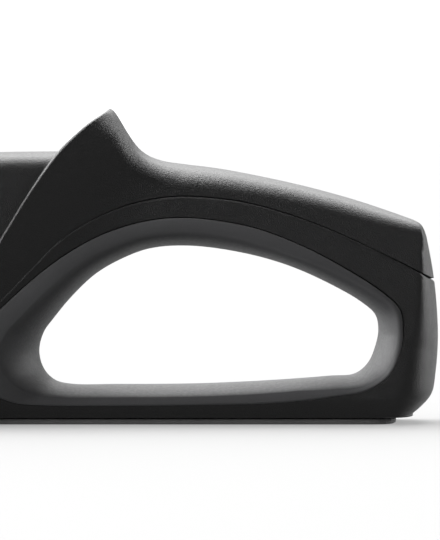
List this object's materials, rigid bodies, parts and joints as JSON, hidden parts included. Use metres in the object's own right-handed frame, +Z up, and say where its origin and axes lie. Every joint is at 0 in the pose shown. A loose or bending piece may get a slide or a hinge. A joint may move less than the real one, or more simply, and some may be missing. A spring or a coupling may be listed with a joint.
{
  "type": "knife edge beveler",
  "caption": "Hand-held pull-through knife edge beveler: closed D handle with soft liner, finger guard, and slots where blades run between sprung abrasive wheels.",
  "frame": {"origin": "on the resting plane, under the middle of the length and width", "axes": "+X from the nose of the head to the rear of the handle, +Y across, along the blade slots, +Z up"},
  "size_m": [0.2045, 0.048, 0.091],
  "materials": {
    "black_shell": "fine spark texture",
    "soft_grip": "soft-touch, satin",
    "base_rubber": "matte",
    "guide_plastic": "satin",
    "cradle_plastic": "moulded",
    "steel": "ground",
    "coated_steel": "diamond-grit coat",
    "hub_plastic": "moulded",
    "bronze": "sintered"
  },
  "bodies": {
    "casing": {"lower_housing": "black_shell", "top_cover": "black_shell", "head_housing": "black_shell", "grip_liner": "soft_grip", "base_pad": "base_rubber", "wheel_cradle": "cradle_plastic", "shaft_keeper_front": "cradle_plastic", "shaft_keeper_rear": "cradle_plastic", "wheel_shaft": "steel", "shaft_clip_front": "steel", "shaft_clip_rear": "steel", "stage_1_guide": "guide_plastic", "stage_1_fixed_sleeve": "bronze", "stage_1_spring": "steel", "stage_2_guide": "guide_plastic", "stage_2_fixed_sleeve": "bronze", "stage_2_spring": "steel", "stage_3_guide": "guide_plastic", "stage_3_fixed_sleeve": "bronze", "stage_3_spring": "steel", "nose_screw_near": "steel", "nose_screw_far": "steel", "guard_screw_near": "steel", "guard_screw_far": "steel", "cradle_screw_front": "steel", "cradle_screw_rear": "steel"},
    "stage_1_fixed": {"stage_1_fixed_wheel": "coated_steel", "stage_1_fixed_hub": "hub_plastic"},
    "stage_1_carrier": {"stage_1_floating_sleeve": "bronze"},
    "stage_1_floating": {"stage_1_floating_wheel": "coated_steel", "stage_1_floating_hub": "hub_plastic"},
    "stage_2_fixed": {"stage_2_fixed_wheel": "coated_steel", "stage_2_fixed_hub": "hub_plastic"},
    "stage_2_carrier": {"stage_2_floating_sleeve": "bronze"},
    "stage_2_floating": {"stage_2_floating_wheel": "coated_steel", "stage_2_floating_hub": "hub_plastic"},
    "stage_3_fixed": {"stage_3_fixed_wheel": "coated_steel", "stage_3_fixed_hub": "hub_plastic"},
    "stage_3_carrier": {"stage_3_floating_sleeve": "bronze"},
    "stage_3_floating": {"stage_3_floating_wheel": "coated_steel", "stage_3_floating_hub": "hub_plastic"}
  },
  "joints": [
    {"name": "stage_1_fixed_spin", "type": "hinge", "parent": "casing", "child": "stage_1_fixed", "pos_m": [-0.0815, 0, 0.046], "axis": [1, 0, 0], "continuous": true},
    {"name": "stage_1_float_slide", "type": "slide", "parent": "casing", "child": "stage_1_carrier", "axis": [-1, 0, 0], "range_m": [0, 0.0012], "stiffness_N_per_m": 400, "springref_m": -0.002, "deforming": ["stage_1_spring"]},
    {"name": "stage_1_float_spin", "type": "hinge", "parent": "stage_1_carrier", "child": "stage_1_floating", "pos_m": [-0.0815, 0, 0.046], "axis": [1, 0, 0], "continuous": true},
    {"name": "stage_2_fixed_spin", "type": "hinge", "parent": "casing", "child": "stage_2_fixed", "pos_m": [-0.0585, 0, 0.046], "axis": [1, 0, 0], "continuous": true},
    {"name": "stage_2_float_slide", "type": "slide", "parent": "casing", "child": "stage_2_carrier", "axis": [-1, 0, 0], "range_m": [0, 0.0012], "stiffness_N_per_m": 400, "springref_m": -0.002, "deforming": ["stage_2_spring"]},
    {"name": "stage_2_float_spin", "type": "hinge", "parent": "stage_2_carrier", "child": "stage_2_floating", "pos_m": [-0.0585, 0, 0.046], "axis": [1, 0, 0], "continuous": true},
    {"name": "stage_3_fixed_spin", "type": "hinge", "parent": "casing", "child": "stage_3_fixed", "pos_m": [-0.0355, 0, 0.046], "axis": [1, 0, 0], "continuous": true},
    {"name": "stage_3_float_slide", "type": "slide", "parent": "casing", "child": "stage_3_carrier", "axis": [-1, 0, 0], "range_m": [0, 0.0012], "stiffness_N_per_m": 400, "springref_m": -0.002, "deforming": ["stage_3_spring"]},
    {"name": "stage_3_float_spin", "type": "hinge", "parent": "stage_3_carrier", "child": "stage_3_floating", "pos_m": [-0.0355, 0, 0.046], "axis": [1, 0, 0], "continuous": true}
  ]
}
